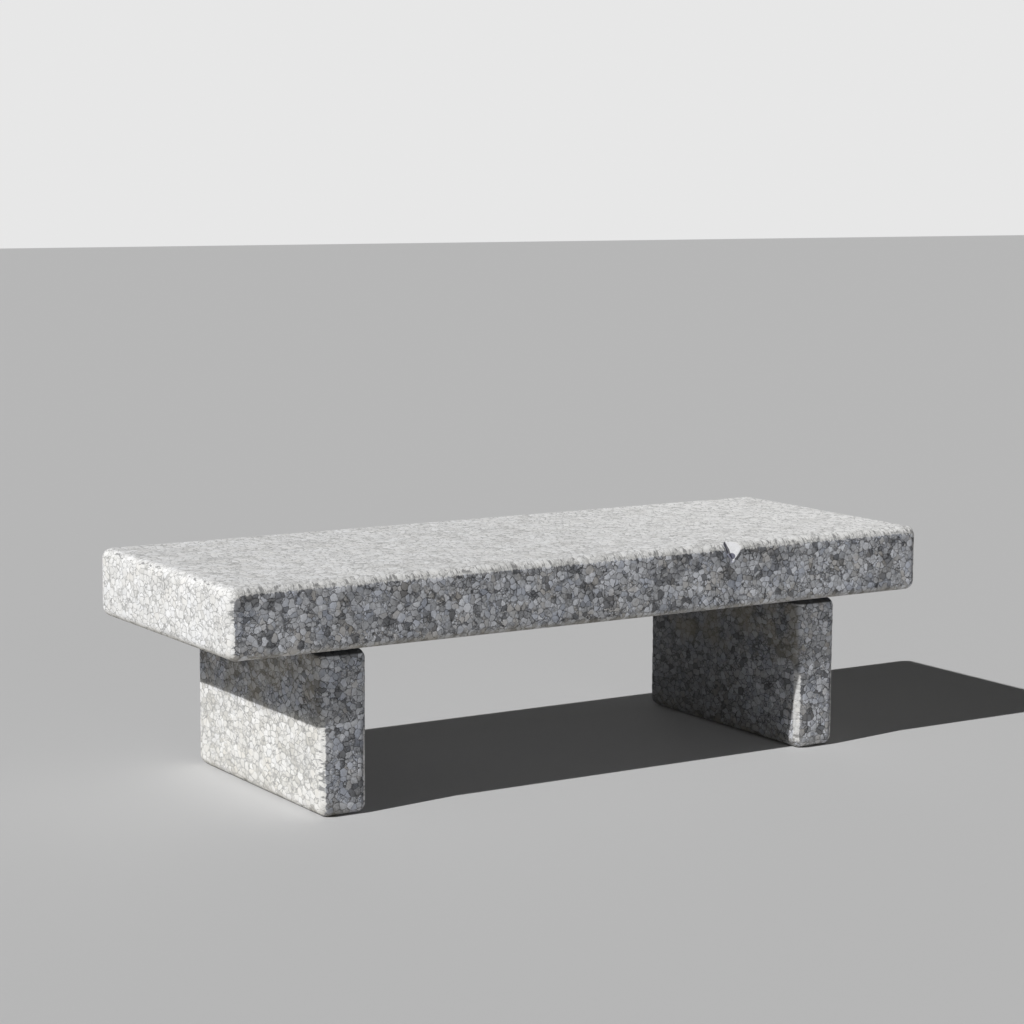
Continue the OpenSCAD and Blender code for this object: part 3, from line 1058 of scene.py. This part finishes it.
def marked_edges(w, face, colour):
    """Edges under the painted light are pale, partly wear and partly painted highlight; the legs' upright
    edges carry a painted highlight strip below a height, painted shade lies beside them, and nicks are cut
    where the strokes are lowest, most of them near the lip of the painted light."""
    sideways = w.plus(w.math("ABSOLUTE", face.facing["X"]), w.times(face.ragged, SIDEWAYS_RAGGEDNESS))
    upright = w.times(w.step(w.math("ABSOLUTE", face.facing["Z"]), *UPRIGHT_EDGES), face.lit_and_exposed)
    # The painted highlight strip low on the legs' upright edges
    lit_strip = w.times(w.step(sideways, *LIT_STRIP_BEGINS), w.step(face.edge, *LIT_STRIP_EDGE), face.on_leg,
                     upright, w.below(face.at["Z"], LIT_STRIP_TOP, LIT_STRIP_BLUR))
    # Painted shade beside the pale upright edges
    edge_shade = w.times(w.step(sideways, *EDGE_SHADE_BEGINS), w.step(sideways, *EDGE_SHADE_ENDS), upright,
                     w.opposite(w.most(face.lit_and_weathered, lit_strip)))
    colour = w.cover(colour, EDGE_SHADE_TONE, edge_shade, EDGE_SHADE_COVER)
    # Pale edges under the painted light: partly wear, partly painted highlight
    worn_and_lit = w.times(face.edge, face.lit_and_weathered)
    colour = w.cover(colour, WORN_AND_LIT_EDGE, w.most(w.times(worn_and_lit, WORN_AND_LIT_COVER), w.times(lit_strip, LIT_STRIP_COVER)))
    lip = w.times(face.lit_and_weathered, w.step(face.faces_up_or_out, *LIP_NICKS))
    nicks = w.step(w.minus(face.strokes, lip), *NICKS)
    return w.cover(colour, NICK_TONE, w.most(worn_and_lit, lit_strip), nicks, NICK_COVER)


def stained(w, face, colour):
    """Brown painted shade under the stones, warm as if from light bounced off the floor; painted shade of the
    slab on the legs, where they are also sheltered; and on the legs' inner sides more painted shade towards
    the top and the back. Brown patches, partly damp and partly painted shade, splashes from the ground, and
    painted black shade in the open joint."""
    faces_down = w.step(face.facing["Z"], *FACES_DOWN)
    # Painted warm shade on the faces that look down
    colour = w.cover(colour, UNDERSIDE_BOUNCE_SHADE, faces_down, w.blend(face.on_leg, *UNDERSIDE_BOUNCE_COVER))
    # Painted shade of the slab on the legs
    colour = w.cover(colour, JOINT_TONE, face.shaded_and_sheltered, SEAT_SHADOW_COVER)
    # Painted shade on the legs' inner sides, deeper towards the top and the back
    deep = w.step(w.math("MULTIPLY_ADD", face.at["Z"], INNER_SLOPE, face.at["Y"]), *INNER_SHADE_COVER)
    colour = w.cover(colour, INNER_SHADE, w.step(face.outer, *INNER_FACES), face.on_leg, deep)
    # Brown patches in the slab's painted shadow: partly damp, partly painted shade
    damp_and_shade = w.times(face.shaded_and_sheltered, w.patches(face.place, DAMP_AND_SHADE_NOISE, DAMP_AND_SHADE_PATCHES),
                   w.step(w.math("ABSOLUTE", face.facing["X"]), *DAMP_AND_SHADE_FACES), DAMP_AND_SHADE_COVER)
    grime = use(w, GROUND_GRIME, Place=face.place, Reach=SPLASH_REACH)["Grime"]
    colour = w.cover(colour, GRIME_AND_SHADE_TONE, w.most(damp_and_shade, w.times(grime, SPLASH_COVER)))
    # Painted black shade in the open joint under the slab
    return w.cover(colour, JOINT_GAP_SHADE, w.step(face.facing["Z"], *LEG_TOP), face.on_leg, GAP_SHADE_COVER)


def fresh_break(w, face, colour):
    """In the chip the right facets are bright and the left ones carry painted shade. A dark round spot lies
    on the right facet, and a painted lilac highlight strip below the shelf."""
    # Painted shade on the break's left facets
    broken = w.mix(w.attribute("left_facet"), FRESH_TONE, LEFT_FACET_SHADE)
    from_spot = w.add("ShaderNodeVectorMath", {0: face.place, 1: CHIP_SPOT}, operation="DISTANCE")
    dark_spot = (CHIP_SPOT_RADIUS, CHIP_SPOT_RADIUS - DARK_SPOT_RIM)
    broken = w.cover(broken, DARK_SPOT, w.step(from_spot.outputs["Value"], *dark_spot))
    # A painted lilac highlight strip below the shelf
    strip = w.below(w.attribute("from_left"), CHIP_STRIP, STRIP_BLUR)
    broken = w.cover(broken, LILAC_HIGHLIGHT, strip, w.below(face.at["Z"], CHIP_SHELF, SHELF_BLUR))
    broken = w.cover(broken, NICK_TONE, w.step(face.shade, *FRESH_SPECKS))
    return w.cover(colour, broken, w.step(w.attribute("fresh_break"), *FRESH_BEGINS))


def granite():
    """Pale granite tooled to its packed grains: each layer of colour covers the ones before it, and some
    layers are painted light and shade. The relief is the grains' domes less the joints, plus specks, mottling
    and the strokes on the edges, and it is lower under the painted light and weather."""
    new, w, shader, place = material("granite")
    face = StoneFace(w, place)
    colour = grain_colours(w, face)
    for layer in (lit_and_bleached, jointed, marked_edges, stained, fresh_break):
        colour = layer(w, face, colour)
    w.put(shader.inputs["Base Color"], colour)
    joints = face.grains["Joints"]
    rough = w.math("MULTIPLY_ADD", face.shade, SPECK_ROUGHNESS, STONE_ROUGHNESS)
    w.put(shader.inputs["Roughness"], w.most(rough, w.times(joints, JOINT_ROUGHNESS)))
    shader.inputs["Specular IOR Level"].default_value = STONE_SPECULAR
    height = w.minus(w.times(face.grains["Height"], DOME_HEIGHT), w.times(joints, JOINT_DEPTH))
    height = w.plus(height, w.times(face.shade, SPECK_HEIGHT), w.times(face.mottle, MOTTLE_HEIGHT))
    height = w.plus(height, w.times(face.edge, face.strokes))
    worn_height = w.blend(face.seat, WORN_SIDE_HEIGHT, WORN_SEAT_HEIGHT)
    w.relief(shader, w.times(height, w.blend(face.lit_and_weathered, 1.0, worn_height)), *STONE_RELIEF)
    return new


# ---------------------------------------------------------------- finishes inside the joints

MORTAR_SPECK = 0.0009
SAND_SHARE = 0.5
MORTAR_CLOUDS = (40.0, 4.0)
MORTAR_TONES = [(0.0, grey(0.10, 0.02)), (1.0, grey(0.34, 0.03))]
MORTAR_ROUGHNESS = 0.95
MORTAR_RELIEF = (0.0004, 0.7)

STEEL_STRETCH = (1, 1, 60)
STEEL_RINGS = (90.0, 3.0, 0.7)
STEEL_TONES = [(0.3, grey(0.48, -0.02)), (0.7, grey(0.66, -0.01))]
STEEL_ROUGHNESS = (0.2, 0.8, 0.28, 0.45)
STEEL_RELIEF = (0.0001, 0.4)

RESIN_CLOUDS = (120.0, 3.0)
RESIN_TONES = [(0.3, (0.52, 0.40, 0.20, 1)), (0.7, (0.74, 0.62, 0.38, 1))]
RESIN_ROUGHNESS = (0.2, 0.8, 0.25, 0.45)
BUBBLE_SPACING = 0.003
BUBBLE_RIM = (0.22, 0.10)
BUBBLE_TONE = (0.85, 0.76, 0.55, 1)
BUBBLE_DEPTH = (0.1, 0.25)
RESIN_RELIEF = (0.0003, 0.5)

PLASTIC_GRAIN = (900.0, 2.0, 0.6)
PLASTIC_TONES = [(0.3, grey(0.018)), (0.7, grey(0.040, -0.03))]
PLASTIC_ROUGHNESS = (0.3, 0.7, 0.45, 0.62)
PLASTIC_RELIEF = (0.0001, 0.5)


def setting_compound():
    """Grey bedding mortar: fine sand in a matt paste."""
    new, w, shader, place = material("setting_compound")
    shade = use(w, FINE_SPECKLE, Place=place, Speck_Size=MORTAR_SPECK)["Shade"]
    tone = w.blend(SAND_SHARE, w.noise(place, *MORTAR_CLOUDS), shade)
    w.put(shader.inputs["Base Color"], w.ramp(tone, MORTAR_TONES))
    shader.inputs["Roughness"].default_value = MORTAR_ROUGHNESS
    w.relief(shader, shade, *MORTAR_RELIEF)
    return new


def turned_steel():
    """Stainless bar: fine rings left by turning, round an upright axis."""
    new, w, shader, place = material("turned_steel")
    rings = w.noise(w.stretched(place, STEEL_STRETCH), *STEEL_RINGS)
    w.put(shader.inputs["Base Color"], w.ramp(rings, STEEL_TONES))
    w.put(shader.inputs["Roughness"], w.step(rings, *STEEL_ROUGHNESS))
    shader.inputs["Metallic"].default_value = 1.0
    w.relief(shader, rings, *STEEL_RELIEF)
    return new


def cured_resin():
    """Honey-coloured anchoring resin with small trapped bubbles."""
    new, w, shader, place = material("cured_resin")
    clouds = w.noise(place, *RESIN_CLOUDS)
    bubbles = w.cells(place, 1 / BUBBLE_SPACING)["Distance"]
    colour = w.cover(w.ramp(clouds, RESIN_TONES), BUBBLE_TONE, w.step(bubbles, *BUBBLE_RIM))
    w.put(shader.inputs["Base Color"], colour)
    w.put(shader.inputs["Roughness"], w.step(clouds, *RESIN_ROUGHNESS))
    w.relief(shader, w.step(bubbles, *BUBBLE_DEPTH), *RESIN_RELIEF)
    return new


def moulded_plastic():
    """Black moulded button, with a fine spark-eroded grain."""
    new, w, shader, place = material("moulded_plastic")
    grain = w.noise(place, *PLASTIC_GRAIN)
    w.put(shader.inputs["Base Color"], w.ramp(grain, PLASTIC_TONES))
    w.put(shader.inputs["Roughness"], w.step(grain, *PLASTIC_ROUGHNESS))
    w.relief(shader, grain, *PLASTIC_RELIEF)
    return new


def dress(piece, finish):
    """Gives a piece one material in place of any that it has."""
    piece.data.materials.clear()
    piece.data.materials.append(finish)


GRANITE = granite()
for piece in (slab, left_leg, right_leg):
    dress(piece, GRANITE)
INNER_FINISHES = {
    "bed": setting_compound(),
    "dowel": turned_steel(),
    "resin": cured_resin(),
    "button": moulded_plastic(),
}
for name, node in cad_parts.items():
    kind = name.split("_")[-1]
    if kind in INNER_FINISHES:
        dress(node, INNER_FINISHES[kind])

# ---------------------------------------------------------------- floor, light and camera

FLOOR_HALF = 30.0
FLOOR_TONE = grey(0.63)
BACKDROP_TONE = grey(0.80)
SKY_TONE = grey(1.0)
SKY_STRENGTH = 0.05
# Each lamp's name, where it stands as seen from the bench, its strength, and its width in degrees
LAMPS = [
    ("key", (-1.0, -0.13, 0.80), 3.40, 0.7),
    ("fill", (-0.15, -1.0, 0.06), 0.452, 30),
    ("back_fill", (0.5, 1.0, 0.06), 0.38, 30),
]

CAMERA_PLACE = Vector((-2.767, -4.330, 1.195))
CAMERA_HEADING = math.radians(32.33)
CAMERA_DIP = math.radians(7.71)
CAMERA_TILT = math.radians(0.32)
CAMERA_LENS = 90.0


def make_floor():
    """A plain pale floor, the same tone all over and with no gloss."""
    mesh = bpy.data.meshes.new("floor")
    corners = [(x * FLOOR_HALF, y * FLOOR_HALF, 0) for x, y in ((-1, -1), (1, -1), (1, 1), (-1, 1))]
    mesh.from_pydata(corners, [], [(0, 1, 2, 3)])
    floor = bpy.data.objects.new("floor", mesh)
    bpy.context.scene.collection.objects.link(floor)
    finish, _, shader, _ = material("floor")
    shader.inputs["Base Color"].default_value = FLOOR_TONE
    shader.inputs["Roughness"].default_value = 1.0
    shader.inputs["Specular IOR Level"].default_value = 0.0
    dress(floor, finish)


def make_light():
    """A lamp from the upper left, weak broad ones from the front and from behind, and an even sky that
    looks pale to the camera."""
    for name, aim, strength, width in LAMPS:
        lamp = bpy.data.lights.new(name, "SUN")
        lamp.energy = strength
        lamp.angle = math.radians(width)
        holder = bpy.data.objects.new(name, lamp)
        holder.rotation_euler = Vector(aim).to_track_quat("Z", "Y").to_euler()
        bpy.context.scene.collection.objects.link(holder)
    world = bpy.data.worlds.new("studio")
    bpy.context.scene.world = world
    world.use_nodes = True
    w = Wiring(world.node_tree)
    rays = w.add("ShaderNodeLightPath").outputs
    seen = w.most(rays["Is Camera Ray"], rays["Is Glossy Ray"], rays["Is Transmission Ray"])
    background = world.node_tree.nodes["Background"]
    w.put(background.inputs["Color"], w.mix(seen, SKY_TONE, BACKDROP_TONE))
    w.put(background.inputs["Strength"], w.blend(seen, SKY_STRENGTH, 1.0))


def make_camera():
    """The camera: heading to the right of straight ahead, dipped a little and hardly tilted."""
    lens = bpy.data.cameras.new("camera")
    lens.lens = CAMERA_LENS
    camera = bpy.data.objects.new("camera", lens)
    turn = (Matrix.Rotation(-CAMERA_HEADING, 4, "Z")
            @ Matrix.Rotation(math.pi / 2 - CAMERA_DIP, 4, "X")
            @ Matrix.Rotation(CAMERA_TILT, 4, "Z"))
    camera.matrix_world = Matrix.Translation(CAMERA_PLACE) @ turn
    bpy.context.scene.collection.objects.link(camera)
    bpy.context.scene.camera = camera


make_floor()
make_light()
make_camera()
bpy.context.scene.view_settings.view_transform = "Standard"
